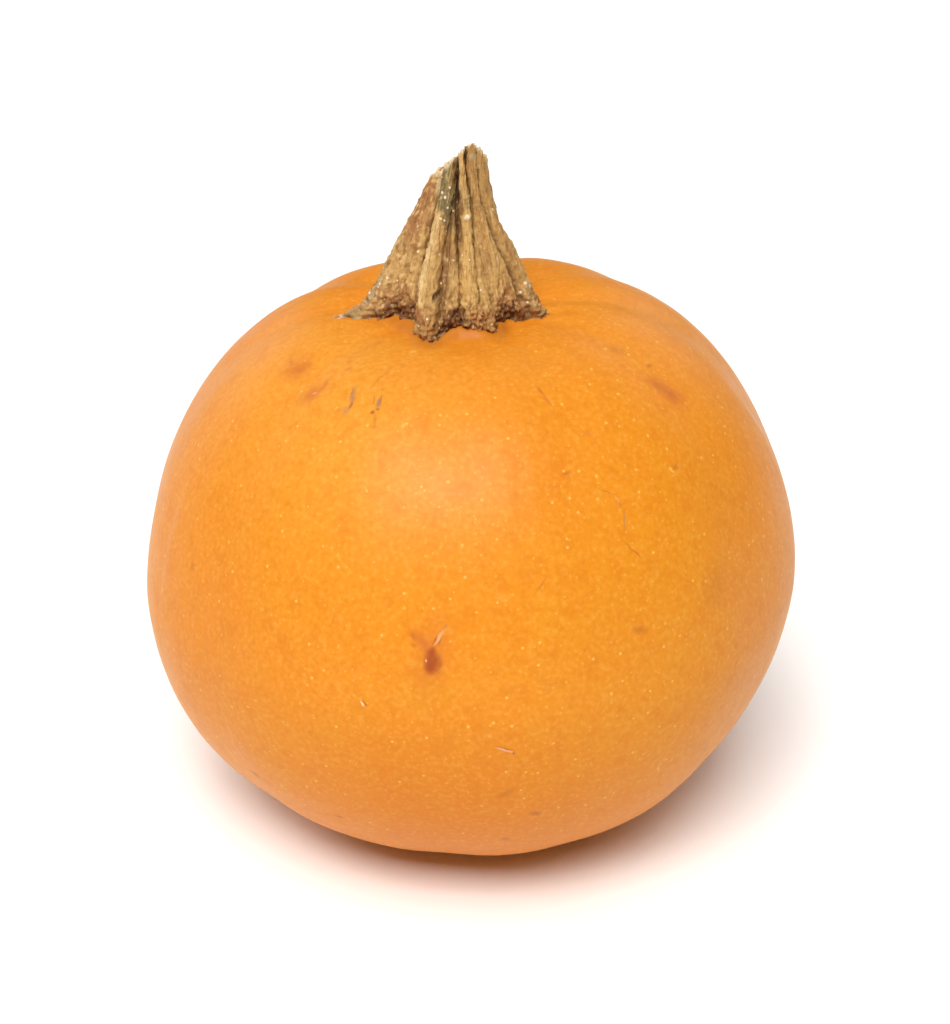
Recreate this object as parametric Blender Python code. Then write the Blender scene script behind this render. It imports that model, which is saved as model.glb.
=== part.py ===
"""A small round pumpkin with its dried stem, standing on the flat of its blossom end.

Run with: blender --background --python part.py
Metres, +Z up. The origin is on the surface that the pumpkin stands on, under its middle.
+X is to the right and -Y is the front. Azimuths are degrees anticlockwise from +X.
"""

import math

import bmesh
import bpy

MM = 0.001

# Fruit: driving dimensions
FRUIT_RADIUS = 50.0 * MM
WIDEST_HEIGHT = 39.9 * MM  # of the widest level, above the floor
CROWN_RISE = 43.9 * MM  # from the widest level to the top of the shoulders
CROWN_SQUARE = 2.88  # how far the shoulders stand out: 2 is an ellipse
CROWN_POWER = 1 / 1.65
BASE_DROP = 40.3 * MM  # from the widest level to the lowest skin, before the flat
BASE_SQUARE = 3.0
BASE_POWER = 1 / 1.8

# The hollow that the stem grows out of, and the dimple of the blossom scar
STEM_SPOT = (-2.7 * MM, -3.5 * MM)
BASIN_DEPTH = 4.0 * MM
BASIN_RADIUS = 16.0 * MM
SCAR_DEPTH = 1.2 * MM
SCAR_RADIUS = 4.5 * MM

# Shallow grooves that run from stem to blossom end: (azimuth, depth)
GROOVES = (
    (2, 0.60 * MM),
    (38, 0.40 * MM),
    (76, 0.60 * MM),
    (110, 0.45 * MM),
    (147, 0.60 * MM),
    (184, 0.45 * MM),
    (221, 0.45 * MM),
    (263, 0.35 * MM),
    (293, 0.25 * MM),
    (325, 0.35 * MM),
)
GROOVE_WIDTH = 8.5  # degrees
GROOVE_START = 15.0 * MM  # distance from the stem at which a groove has deepened
GROOVE_END = 16.0 * MM  # the same, from the blossom scar

# Broad swellings and hollows of the skin: (azimuth, latitude, spread in degrees, height)
SWELLINGS = (
    (200, -25, 26, 1.1 * MM),
    (195, 40, 26, 0.3 * MM),
    (345, -25, 26, -1.0 * MM),
    (15, 35, 24, 0.3 * MM),
    (40, 60, 24, 0.6 * MM),
    (95, -10, 30, 0.5 * MM),
)

# Stem: driving dimensions
STEM_HEIGHT = 25.3 * MM  # from the basin to the crest of the broken end
FOOT_RADIUS = 9.4 * MM  # between the toes
NECK_RADIUS = 3.5 * MM
FLARE_POWER = 1.4
HEEL_HEIGHT = 0.12  # share of the height in which the foot tucks under
HEEL_TUCK = 0.10
STEM_LEAN = (1.4 * MM, 0.6 * MM)  # of the broken end, from over the foot
STEM_TWIST = -12.0  # degrees, from foot to tip
FOOT_PLEAT, TIP_PLEAT = 0.12, 0.34  # depth of the grooves, as shares of the radius
BREAK_CREST = 1.4 * MM  # to the right of the stem's middle, where it broke highest
BREAK_LEFT, BREAK_RIGHT = 0.85, 0.70  # slopes down to either side
BREAK_BACK = 0.45  # slope down to the back
PITH_DEPTH = 0.9 * MM

# Ridges of the stem: (azimuth at the foot, half width in degrees, reach of its toe)
RIDGES = (
    (185, 24, 4.6 * MM),
    (220, 18, 0.0 * MM),
    (252, 17, 2.7 * MM),
    (289, 20, 0.0 * MM),
    (308, 9, 1.3 * MM),
    (324, 16, 0.0 * MM),
    (350, 18, 5.2 * MM),
    (28, 22, 0.0 * MM),
    (66, 21, 3.0 * MM),
    (105, 20, 0.3 * MM),
    (143, 21, 3.4 * MM),
)
TOE_WIDTH = 14.0  # degrees, at the foot
TOE_SPREAD = 30.0  # degrees wider at the tip
TOE_ARCH = 1.4 * MM  # the foot's lower edge lifts by this between two toes
TOE_FULL = 2.0 * MM  # reach of a toe that stands fully on the skin

# Dried points that the two side toes end in: (azimuth, reach past the toe)
SPURS = (
    (187, 3.7 * MM),
    (347, 1.6 * MM),
)
SPUR_WIDTH = 7.0  # degrees, either side of its middle
SPUR_HEIGHT = 0.05  # share of the stem's height

# Meshes
FRUIT_SEGMENTS, FRUIT_RINGS = 100, 40
STEM_SEGMENTS = 80
UNDERSIDE_RINGS, WALL_RINGS, BREAK_RINGS = 4, 17, 3
STEM_RINGS = UNDERSIDE_RINGS + WALL_RINGS + BREAK_RINGS
RING_CROWDING = 1.35  # above 1, the rings of the wall lie closer at the foot
GROWN_GAP = 0.3 * MM  # between the two meshes where stem and fruit have grown together

SKIN_ORANGE = (0.87, 0.31, 0.03, 1.0)
STEM_TAN = (0.45, 0.27, 0.12, 1.0)


def clear_scene():
    for old in list(bpy.data.objects):
        bpy.data.objects.remove(old)


def material(name, colour, roughness):
    """A plain Principled material that holds the part's own colour."""
    made = bpy.data.materials.new(name)
    made.use_nodes = True
    shader = made.node_tree.nodes["Principled BSDF"]
    shader.inputs["Base Color"].default_value = colour
    shader.inputs["Roughness"].default_value = roughness
    shader.inputs["Metallic"].default_value = 0.0
    return made


def turn_between(azimuth, other):
    """Degrees from other to azimuth, from -180 to 180."""
    return (azimuth - other + 180) % 360 - 180


def bell(distance, spread):
    return math.exp(-((distance / spread) ** 2))


def groove_depth(azimuth, x, y):
    """Depth of the grooves there. They fade out beside the stem and the blossom scar."""
    depth = sum(deep * bell(turn_between(azimuth, at), GROOVE_WIDTH) for at, deep in GROOVES)
    return depth * (1 - bell(math.hypot(x, y), GROOVE_END) ** 2)


def swelling_height(azimuth, latitude):
    """Height of the broad swellings there."""
    total = 0.0
    for at, level, spread, height in SWELLINGS:
        across = turn_between(azimuth, at) * math.cos(math.radians(level))
        total += height * bell(math.hypot(across, latitude - level), spread)
    return total


def basin_depth(x, y):
    return BASIN_DEPTH * bell(math.hypot(x - STEM_SPOT[0], y - STEM_SPOT[1]), BASIN_RADIUS)


def crown_height(x, y):
    """Height of the smooth top of the fruit over a point near its axis."""
    share = min(math.hypot(x, y) / FRUIT_RADIUS, 1.0)
    rise = CROWN_RISE * (1 - share**CROWN_SQUARE) ** CROWN_POWER
    return WIDEST_HEIGHT + rise - basin_depth(x, y)


def skin_point(azimuth, latitude):
    """A point of the fruit, about the middle of its widest level.

    The meridian is a squared ellipse, taller above the widest level than below it.
    The grooves go in, and the swellings out, along the line from the middle.
    """
    turn, tilt = math.radians(azimuth), math.radians(latitude)
    share = max(math.cos(tilt), 0.0)
    radius = FRUIT_RADIUS * share
    x, y = radius * math.cos(turn), radius * math.sin(turn)
    if latitude >= 0:
        z = CROWN_RISE * (1 - share**CROWN_SQUARE) ** CROWN_POWER - basin_depth(x, y)
    else:
        z = -BASE_DROP * (1 - share**BASE_SQUARE) ** BASE_POWER
        z += SCAR_DEPTH * bell(radius, SCAR_RADIUS)
    stem_distance = math.hypot(x - STEM_SPOT[0], y - STEM_SPOT[1])
    clear_of_stem = 1 - bell(stem_distance, GROOVE_START) ** 2 if latitude > 0 else 1.0
    relief = swelling_height(azimuth, latitude) * share
    relief -= groove_depth(azimuth, x, y) * clear_of_stem
    scale = 1 + relief / math.sqrt(x * x + y * y + z * z)
    return x * scale, y * scale, max(z * scale, -WIDEST_HEIGHT)


def arch(across):
    """A rounded ridge: 1 on its crest, falling ever more steeply to 0 at its edges."""
    return math.sqrt(max(1 - across * across, 0.0))


def toe_reach(azimuth, lean=0.0, width=TOE_WIDTH):
    """Reach of the toes there, each turned by lean degrees from its place at the foot."""
    return sum(reach * bell(turn_between(azimuth, at + lean), width) for at, _, reach in RIDGES)


def stem_radius(azimuth, level):
    """Radius of the stem's wall at a level, from 0 at its foot to 1 at its highest point."""
    lean = STEM_TWIST * level
    foot = FOOT_RADIUS + toe_reach(azimuth, lean, TOE_WIDTH + TOE_SPREAD * level)
    core = NECK_RADIUS + (foot - NECK_RADIUS) * max(1 - level, 0.0) ** FLARE_POWER
    crest = max(arch(turn_between(azimuth, at + lean) / width) for at, width, _ in RIDGES)
    pleat = FOOT_PLEAT + (TIP_PLEAT - FOOT_PLEAT) * level
    heel = max(1 - level / HEEL_HEIGHT, 0.0)
    wall = core * (1 - pleat * (1 - crest)) * (1 - HEEL_TUCK * heel * heel)
    for at, reach in SPURS:
        away = abs(turn_between(azimuth, at))
        wall += reach * max(1 - away / SPUR_WIDTH, 0.0) * max(1 - level / SPUR_HEIGHT, 0.0)
    return wall


def broken_height(azimuth, inset=1.0):
    """Height of the slanting broken end above the basin: at its rim, or inset from it."""
    turn = math.radians(azimuth)
    east = inset * NECK_RADIUS * math.cos(turn) - BREAK_CREST
    north = inset * NECK_RADIUS * math.sin(turn)
    slope = BREAK_LEFT if east < 0 else BREAK_RIGHT
    return STEM_HEIGHT - slope * abs(east) - BREAK_BACK * north


def stem_place(azimuth, level, inset=1.0):
    """Place across of a point of the wall, or with an inset below 1 of one inside it."""
    turn = math.radians(azimuth)
    radius = stem_radius(azimuth, level) * inset
    x = STEM_SPOT[0] + STEM_LEAN[0] * level * level + radius * math.cos(turn)
    y = STEM_SPOT[1] + STEM_LEAN[1] * level * level + radius * math.sin(turn)
    return x, y


def foot_point(azimuth, inset):
    """A point of the stem's underside, which arches up off the skin between the toes."""
    x, y = stem_place(azimuth, 0.0, inset)
    lift = TOE_ARCH * max(1 - toe_reach(azimuth) / TOE_FULL, 0.0) * inset * inset
    return x, y, crown_height(x, y) + GROWN_GAP + lift


def wall_point(azimuth, share):
    """A point of the stem's wall, share of the way from its lower edge to the broken rim."""
    rise = broken_height(azimuth)
    x, y = stem_place(azimuth, share * rise / STEM_HEIGHT)
    foot = foot_point(azimuth, 1.0)[2]
    rim = crown_height(*STEM_SPOT) + rise
    return x, y, foot + share * (rim - foot)


def break_point(azimuth, inset):
    """A point of the broken end, with the pith a little sunk in the middle."""
    x, y = stem_place(azimuth, broken_height(azimuth) / STEM_HEIGHT, inset)
    rise = broken_height(azimuth, inset) - PITH_DEPTH * (1 - inset * inset)
    return x, y, crown_height(*STEM_SPOT) + rise


def stem_point(azimuth, ring):
    """A point of the stem: rings run from the middle of its underside to the pith."""
    if ring < UNDERSIDE_RINGS:
        return foot_point(azimuth, ring / UNDERSIDE_RINGS)
    if ring > UNDERSIDE_RINGS + WALL_RINGS:
        return break_point(azimuth, (STEM_RINGS - ring) / BREAK_RINGS)
    return wall_point(azimuth, ((ring - UNDERSIDE_RINGS) / WALL_RINGS) ** RING_CROWDING)


def shaped_sphere(name, segments, rings, place, finish):
    """A UV sphere whose points are moved to place(azimuth, ring), ring 0 at the bottom."""
    mesh = bpy.data.meshes.new(name)
    form = bmesh.new()
    bmesh.ops.create_uvsphere(form, u_segments=segments, v_segments=rings, radius=1.0)
    for point in form.verts:
        azimuth = math.degrees(math.atan2(point.co.y, point.co.x))
        polar = math.degrees(math.acos(max(-1.0, min(1.0, -point.co.z))))
        point.co = place(azimuth, round(polar * rings / 180))
    form.to_mesh(mesh)
    form.free()
    mesh.materials.append(finish)
    mesh.shade_smooth()
    made = bpy.data.objects.new(name, mesh)
    return made


def make_fruit():
    def place(azimuth, ring):
        return skin_point(azimuth, 180 * ring / FRUIT_RINGS - 90)

    finish = material("pumpkin_skin", SKIN_ORANGE, 0.42)
    fruit = shaped_sphere("fruit", FRUIT_SEGMENTS, FRUIT_RINGS, place, finish)
    fruit.location.z = WIDEST_HEIGHT
    return fruit


def make_stem():
    finish = material("dried_stem", STEM_TAN, 0.75)
    return shaped_sphere("stem", STEM_SEGMENTS, STEM_RINGS, stem_point, finish)


def middle_of(pieces):
    """Middle, seen from above, of the box round the pieces."""
    points = [piece.matrix_basis @ point.co for piece in pieces for point in piece.data.vertices]
    east = [point.x for point in points]
    north = [point.y for point in points]
    return (min(east) + max(east)) / 2, (min(north) + max(north)) / 2


def main():
    clear_scene()
    collection = bpy.data.collections.new("pumpkin")
    bpy.context.scene.collection.children.link(collection)
    carrier = bpy.data.objects.new("pumpkin_origin", None)
    collection.objects.link(carrier)
    pieces = (make_fruit(), make_stem())
    for piece in pieces:
        collection.objects.link(piece)
        piece.parent = carrier
    middle = middle_of(pieces)
    carrier.location = (-middle[0], -middle[1], 0.0)


main()
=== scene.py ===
"""A small round pumpkin with its dried stem, on a pale table in soft light.

Metres, +Z up. Azimuths are degrees anticlockwise from +X, and -Y is the front.
"""

import math

import bpy
import numpy as np
from mathutils import Matrix, Vector


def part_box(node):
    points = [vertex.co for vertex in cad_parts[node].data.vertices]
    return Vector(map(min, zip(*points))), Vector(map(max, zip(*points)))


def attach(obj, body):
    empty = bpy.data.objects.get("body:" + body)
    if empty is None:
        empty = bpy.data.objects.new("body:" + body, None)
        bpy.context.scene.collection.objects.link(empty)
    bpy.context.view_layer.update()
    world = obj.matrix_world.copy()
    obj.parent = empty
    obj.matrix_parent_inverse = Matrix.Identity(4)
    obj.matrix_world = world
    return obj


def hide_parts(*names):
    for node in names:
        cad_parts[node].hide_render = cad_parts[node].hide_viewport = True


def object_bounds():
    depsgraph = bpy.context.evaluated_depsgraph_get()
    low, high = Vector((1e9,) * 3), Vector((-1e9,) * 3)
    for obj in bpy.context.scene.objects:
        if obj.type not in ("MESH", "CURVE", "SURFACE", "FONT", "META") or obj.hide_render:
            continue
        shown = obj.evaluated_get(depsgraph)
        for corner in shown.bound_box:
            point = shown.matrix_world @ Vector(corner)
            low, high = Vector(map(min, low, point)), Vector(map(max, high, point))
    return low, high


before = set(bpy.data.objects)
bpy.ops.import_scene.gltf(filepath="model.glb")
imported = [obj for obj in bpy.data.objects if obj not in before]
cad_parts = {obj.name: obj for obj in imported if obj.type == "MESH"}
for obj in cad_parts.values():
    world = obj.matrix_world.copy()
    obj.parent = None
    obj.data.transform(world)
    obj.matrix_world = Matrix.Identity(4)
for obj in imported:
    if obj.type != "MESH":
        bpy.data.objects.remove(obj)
packed_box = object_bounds()


# The fruit: one hard-shelled pumpkin, grown as a single piece round its own axis. Shallow grooves
# run from the stem to the blossom end. The skin is thin, waxy and flecked, with scars and scuffs
# that healed brown while it grew.

MM = 0.001
FRUIT_RADIUS = 50.0 * MM
WIDEST_HEIGHT = 39.9 * MM  # of the widest level, above the table
CROWN_RISE, CROWN_SQUARE, CROWN_POWER = 43.9 * MM, 2.88, 1 / 1.65
BASE_DROP, BASE_SQUARE, BASE_POWER = 40.3 * MM, 3.0, 1 / 1.8
STEM_SPOT = (-2.7 * MM, -3.5 * MM)
BASIN_DEPTH, BASIN_RADIUS = 4.0 * MM, 16.0 * MM
SCAR_DEPTH, SCAR_RADIUS = 1.2 * MM, 4.5 * MM

# (azimuth, depth)
GROOVES = (
    (2, 0.6 * MM),
    (38, 0.4 * MM),
    (76, 0.6 * MM),
    (110, 0.45 * MM),
    (147, 0.6 * MM),
    (184, 0.45 * MM),
    (221, 0.45 * MM),
    (263, 0.35 * MM),
    (293, 0.25 * MM),
    (325, 0.35 * MM),
)
GROOVE_WIDTH = 8.5  # degrees
GROOVE_START = 15.0 * MM  # distance from the stem at which a groove has deepened
GROOVE_END = 16.0 * MM  # the same, from the blossom scar

# (azimuth, latitude, spread in degrees, height)
SWELLINGS = (
    (200, -25, 26, 1.1 * MM),
    (195, 40, 26, 0.3 * MM),
    (345, -25, 26, -1 * MM),
    (15, 35, 24, 0.3 * MM),
    (40, 60, 24, 0.6 * MM),
    (95, -10, 30, 0.5 * MM),
)

# Where the stem stands on it: its foot, and (azimuth, reach past the foot, half width) of its toes
FOOT_RADIUS = 8.9 * MM
TOES = (
    (183, 5.1 * MM, 11),
    (252, 3.2 * MM, 13),
    (306, 2 * MM, 13),
    (350, 5 * MM, 13),
    (66, 3.5 * MM, 14),
    (105, 0.8 * MM, 14),
    (143, 3.9 * MM, 14),
)
TOE_FULL = 2.5 * MM  # reach of a toe that stands fully on the skin
COLLAR_HEIGHT = 1.9 * MM  # by which the skin rises to meet the stem between its toes
COLLAR_TOE_SHARE = 0.25  # of it that is left at a toe
COLLAR_INNER, COLLAR_OUTER = -1.0 * MM, 1.8 * MM  # where it ends, from the edge of the foot
FOOT_EDGE = 0.93  # where that edge is, as a share of the foot's reach
STAIN_AND_SHADE_INNER, STAIN_AND_SHADE_OUTER = 0.2 * MM, 3.0 * MM  # where the brown stain and the painted shade round the foot fade

# The mesh is finer than the waviness of the skin, at under 200,000 triangles
SKIN_COLUMNS, SKIN_ROWS = 380, 250
ROW_GATHER = 0.05  # how much closer the rows lie towards both ends
WAVES = ((24.0 * MM, 0.10 * MM), (9.0 * MM, 0.035 * MM), (4.0 * MM, 0.012 * MM))  # length, height
STREAK_HEIGHT, STREAK_COUNTS = 0.012 * MM, (30, 110)  # of the lengthwise streaks, and how many
CREASE_HEIGHT, CREASE_COUNTS = 0.035 * MM, (10, 30)  # of the creases that fan out from the stem
CREASE_NEAR, CREASE_FAR, CREASE_BEND = 12.0 * MM, 32.0 * MM, 9 * MM


def bell(distance, spread):
    """1 at no distance, and falling on both sides as the normal curve does."""
    return np.exp(-((distance / spread) ** 2))


def turn_between(azimuth, other):
    """Degrees from other to azimuth, from -180 to 180."""
    return (azimuth - other + 180) % 360 - 180


def eased(value, low, high):
    """0 below low, 1 above high, and a smooth S between."""
    share = np.clip((value - low) / (high - low), 0, 1)
    return share * share * (3 - 2 * share)


def lumps(points, size, seed):
    """Even lumps of about that size, -1 to 1: cosine waves in 24 random directions, added up."""
    draw = np.random.default_rng(seed)
    headings = draw.normal(size=(24, 3))
    headings /= np.linalg.norm(headings, axis=1)[:, None]
    lengths = size * draw.uniform(1.4, 2.6, 24)
    phases = points @ (headings * (2 * np.pi / lengths)[:, None]).T + draw.uniform(0, 2 * np.pi, 24)
    return np.cos(phases).sum(axis=-1) / math.sqrt(24)


def fibres(azimuth, along, counts, wander, seed):
    """Ribs that run lengthwise, -1 to 1: cosine waves round the piece, added up.

    Each wave has a whole count round the piece, drawn between the two counts, and wanders
    sideways by a few degrees along its length.
    """
    draw = np.random.default_rng(seed)
    total = np.zeros(np.broadcast(azimuth, along).shape)
    for count in draw.integers(counts[0], counts[1], 16):
        phase, start, pace = draw.uniform(0, 2 * np.pi, 3)
        sideways = wander * np.sin(start + pace * along)
        total += np.cos(np.radians(azimuth + sideways) * count + phase)
    return total / math.sqrt(16)


def crown_height(x, y):
    """Height above the table of the smooth top of the fruit."""
    share = np.minimum(np.hypot(x, y) / FRUIT_RADIUS, 1)
    rise = CROWN_RISE * (1 - share**CROWN_SQUARE) ** CROWN_POWER
    from_stem = np.hypot(x - STEM_SPOT[0], y - STEM_SPOT[1])
    return WIDEST_HEIGHT + rise - BASIN_DEPTH * bell(from_stem, BASIN_RADIUS)


def fruit_skin(azimuth, latitude, relief=0.0):
    """Points of the skin, from its azimuth and latitude in degrees.

    A meridian is a squared ellipse, (1 - cos(latitude)^square)^power high, taller above the
    widest level than below. A bell-shaped basin takes in the stem and a small one the blossom
    scar. Grooves go in, and swellings and the relief go out, along the line from the middle.
    """
    turn, share = np.radians(azimuth), np.maximum(np.cos(np.radians(latitude)), 0)
    x, y = FRUIT_RADIUS * share * np.cos(turn), FRUIT_RADIUS * share * np.sin(turn)
    from_axis = np.hypot(x, y)
    from_stem = np.hypot(x - STEM_SPOT[0], y - STEM_SPOT[1])
    crown = crown_height(x, y) - WIDEST_HEIGHT
    base = -BASE_DROP * (1 - share**BASE_SQUARE) ** BASE_POWER
    base = base + SCAR_DEPTH * bell(from_axis, SCAR_RADIUS)
    z = np.where(latitude >= 0, crown, base)
    groove = sum(depth * bell(turn_between(azimuth, at), GROOVE_WIDTH) for at, depth in GROOVES)
    groove = groove * (1 - bell(from_axis, GROOVE_END) ** 2)
    groove = groove * np.where(latitude > 0, 1 - bell(from_stem, GROOVE_START) ** 2, 1)
    swelling = np.zeros_like(z)
    for at, level, spread, height in SWELLINGS:
        across = turn_between(azimuth, at) * math.cos(math.radians(level))
        swelling = swelling + height * bell(np.hypot(across, latitude - level), spread)
    stretch = 1 + (swelling * share - groove + relief) / np.sqrt(x * x + y * y + z * z)
    z = np.maximum(z * stretch, -WIDEST_HEIGHT) + WIDEST_HEIGHT
    return np.stack([x * stretch, y * stretch, z], axis=-1)


def skin_relief(azimuth, latitude):
    """Waviness of the skin, faint lengthwise streaks, and creases that fan out from the stem."""
    points = fruit_skin(azimuth, latitude)
    relief = sum(height * lumps(points, size, 3 + k) for k, (size, height) in enumerate(WAVES))
    share = np.cos(np.radians(latitude))
    relief += STREAK_HEIGHT * share * fibres(azimuth, np.radians(latitude), STREAK_COUNTS, 3, 11)
    east, north = points[..., 0] - STEM_SPOT[0], points[..., 1] - STEM_SPOT[1]
    from_stem = np.hypot(east, north)
    around = np.degrees(np.arctan2(north, east))
    fan = fibres(around, from_stem / CREASE_BEND, CREASE_COUNTS, 4, 12)
    near = eased(from_stem, 0.6 * CREASE_NEAR, CREASE_NEAR)
    reach = near * (1 - eased(from_stem, CREASE_NEAR, CREASE_FAR)) * (latitude > 0)
    return relief + CREASE_HEIGHT * reach * fan


def toe_reach(azimuth, lean=0.0, spread=0.0):
    """Reach of the stem's toes there, turned by lean degrees and widened by spread degrees."""
    return sum(
        bell(turn_between(azimuth, at + lean), width + spread) * reach for at, reach, width in TOES
    )


def stem_collar(azimuth, latitude):
    """Height by which the skin rises round the stem, and how near the foot's edge is, 0 to 1.

    The skin rises towards the edge of the foot in an S, most where no toe is.
    """
    points = fruit_skin(azimuth, latitude)
    east, north = points[..., 0] - STEM_SPOT[0], points[..., 1] - STEM_SPOT[1]
    around = np.degrees(np.arctan2(north, east))
    outside = np.hypot(east, north) - FOOT_EDGE * (FOOT_RADIUS + toe_reach(around))
    bare = np.maximum(1 - toe_reach(around) / TOE_FULL, 0)
    rise = COLLAR_TOE_SHARE + (1 - COLLAR_TOE_SHARE) * bare
    height = COLLAR_HEIGHT * rise * (1 - eased(outside, COLLAR_INNER, COLLAR_OUTER))
    near = 1 - eased(outside, STAIN_AND_SHADE_INNER, STAIN_AND_SHADE_OUTER)
    return height * (latitude > 0), near * (latitude > 0)


def skin_grid(columns, rows):
    """Azimuths and latitudes of a grid of points, from the blossom end up to the stem."""
    azimuths, share = np.arange(columns) * 360 / columns, np.linspace(0, 1, rows + 1)
    return np.meshgrid(azimuths, 180 * (share - ROW_GATHER * np.sin(2 * np.pi * share)) - 90)


def kept_points(values):
    """A grid of values, its first and its last row each one, as a closed surface keeps points."""
    inner = values[1:-1].reshape(-1, *values.shape[2:])
    return np.concatenate([values[0, :1], inner, values[-1, :1]])


def closed_surface(name, grid):
    """A closed mesh over a grid of points, its rows from bottom to top, its columns anticlockwise.

    The first and the last row are each one point, fanned out to the next row.
    """
    rows, around = grid.shape[:2]
    points = kept_points(grid)
    ring = 1 + np.arange((rows - 2) * around).reshape(rows - 2, around)
    after = np.roll(ring, -1, axis=1)
    walls = np.stack([ring[:-1], after[:-1], after[1:], ring[1:]], axis=-1).reshape(-1, 4)
    low = np.stack([np.zeros(around, int), after[0], ring[0]], axis=-1)
    high = np.stack([np.full(around, len(points) - 1), ring[-1], after[-1]], axis=-1)
    mesh = bpy.data.meshes.new(name)
    mesh.from_pydata(points.tolist(), [], walls.tolist() + low.tolist() + high.tolist())
    mesh.shade_smooth()
    piece = bpy.data.objects.new(name, mesh)
    bpy.context.scene.collection.objects.link(piece)
    return piece


def add_node(tree, kind, inputs, **settings):
    """A shader node with its settings, each of its inputs given a value or fed by a socket."""
    made = tree.nodes.new("ShaderNode" + kind)
    for name, value in settings.items():
        setattr(made, name, value)
    for name, value in inputs.items():
        if isinstance(value, bpy.types.NodeSocket):
            tree.links.new(value, made.inputs[name])
        else:
            made.inputs[name].default_value = value
    return made


def laid(tree, share, under, over):
    """Colour over, laid on colour under by that share."""
    return add_node(tree, "Mix", {0: share, 6: under, 7: over}, data_type="RGBA").outputs[2]


def times(tree, one, other):
    """One value times the other."""
    return add_node(tree, "Math", {0: one, 1: other}, operation="MULTIPLY").outputs[0]


def plus(tree, one, other):
    """One value plus the other."""
    return add_node(tree, "Math", {0: one, 1: other}, operation="ADD").outputs[0]


def rising(tree, value, low, high, top=1.0):
    """0 where value is at most low, top where it is at least high, and smooth between."""
    inputs = {"Value": value, "From Min": low, "From Max": high, "To Max": top}
    return add_node(tree, "MapRange", inputs, interpolation_type="SMOOTHSTEP").outputs[0]


def layered(tree, colour, layers):
    """Colours laid on in turn, each by up to its share as its field goes from low to high."""
    for field, low, high, share, tint in layers:
        colour = laid(tree, rising(tree, field, low, high, share), colour, tint)
    return colour


def vectors(tree, way, *values):
    """The vector that this kind of vector arithmetic makes of the values."""
    return add_node(tree, "VectorMath", dict(enumerate(values)), operation=way).outputs[0]


def frayed_place(tree, place, size, detail, reach):
    """The place, moved each way by up to half the reach, by noise of that size."""
    inputs = {"Vector": place, "Scale": 1 / size, "Detail": detail}
    offset = vectors(tree, "SUBTRACT", add_node(tree, "TexNoise", inputs).outputs[1], (0.5,) * 3)
    return vectors(tree, "MULTIPLY_ADD", offset, (reach,) * 3, place)


def spot(tree, place, middle, half_sizes, turn=(0, 0, 0)):
    """1 in the middle of an ellipsoid, falling evenly to 0 at its surface."""
    inputs = {"Vector": place, "Location": middle, "Rotation": turn, "Scale": half_sizes}
    local = add_node(tree, "Mapping", inputs, vector_type="TEXTURE").outputs[0]
    return add_node(tree, "TexGradient", {"Vector": local}, gradient_type="SPHERICAL").outputs[1]


def cloud(tree, place, size, detail=2.0):
    """Soft noise from 0 to 1, mostly about 0.5, whose lumps are about that size."""
    inputs = {"Vector": place, "Scale": 1 / size, "Detail": detail}
    return add_node(tree, "TexNoise", inputs).outputs[0]


def specks(tree, place, size, spacing, kept):
    """Round specks of that size, 1 in their middles: the points nearest to scattered seeds.

    Only that share of the seeds is kept.
    """
    inputs = {"Vector": place, "Scale": 1 / spacing}
    seeds = add_node(tree, "TexVoronoi", inputs)
    near = rising(tree, seeds.outputs["Distance"], size / 2 / spacing, size / 5 / spacing)
    draw = add_node(tree, "SeparateColor", {"Color": seeds.outputs["Color"]}).outputs[0]
    return times(tree, near, rising(tree, draw, 1 - kept, 1 - kept + 0.05))


ORANGE = (0.710, 0.239, 0.013, 1)
DEEP_ORANGE = (0.690, 0.216, 0.011, 1)
# A paler orange that is painted sheen, and a darker, redder orange that is painted shade
SHEEN_PAINTED_ORANGE = (0.735, 0.298, 0.032, 1)
SHADE_PAINTED_ORANGE = (0.640, 0.184, 0.006, 1)
YELLOW_ORANGE = (0.677, 0.258, 0.013, 1)
FLECK = (0.793, 0.445, 0.093, 1)
PORE = (0.611, 0.175, 0.009, 1)
BRUISE = (0.511, 0.123, 0.026, 1)
STAIN_AND_SHADE = (0.450, 0.140, 0.016, 1)  # brown stain, and painted shade where the skin meets the stem's foot
SCAR_BROWN = (0.319, 0.057, 0.013, 1)
DARK_BROWN = (0.350, 0.084, 0.026, 1)
SCUFF_GREY = (0.152, 0.123, 0.124, 1)
# A pink for small scuffs, and for a painted highlight on the right shoulder
PINK_SCUFF_AND_HIGHLIGHT = (0.702, 0.395, 0.230, 1)
# A pale for nicks, and for a painted highlight on one of them
PALE_NICK_AND_HIGHLIGHT = (0.797, 0.576, 0.323, 1)
CORK = (0.332, 0.213, 0.103, 1)
CORK_DARK = (0.095, 0.047, 0.020, 1)
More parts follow.
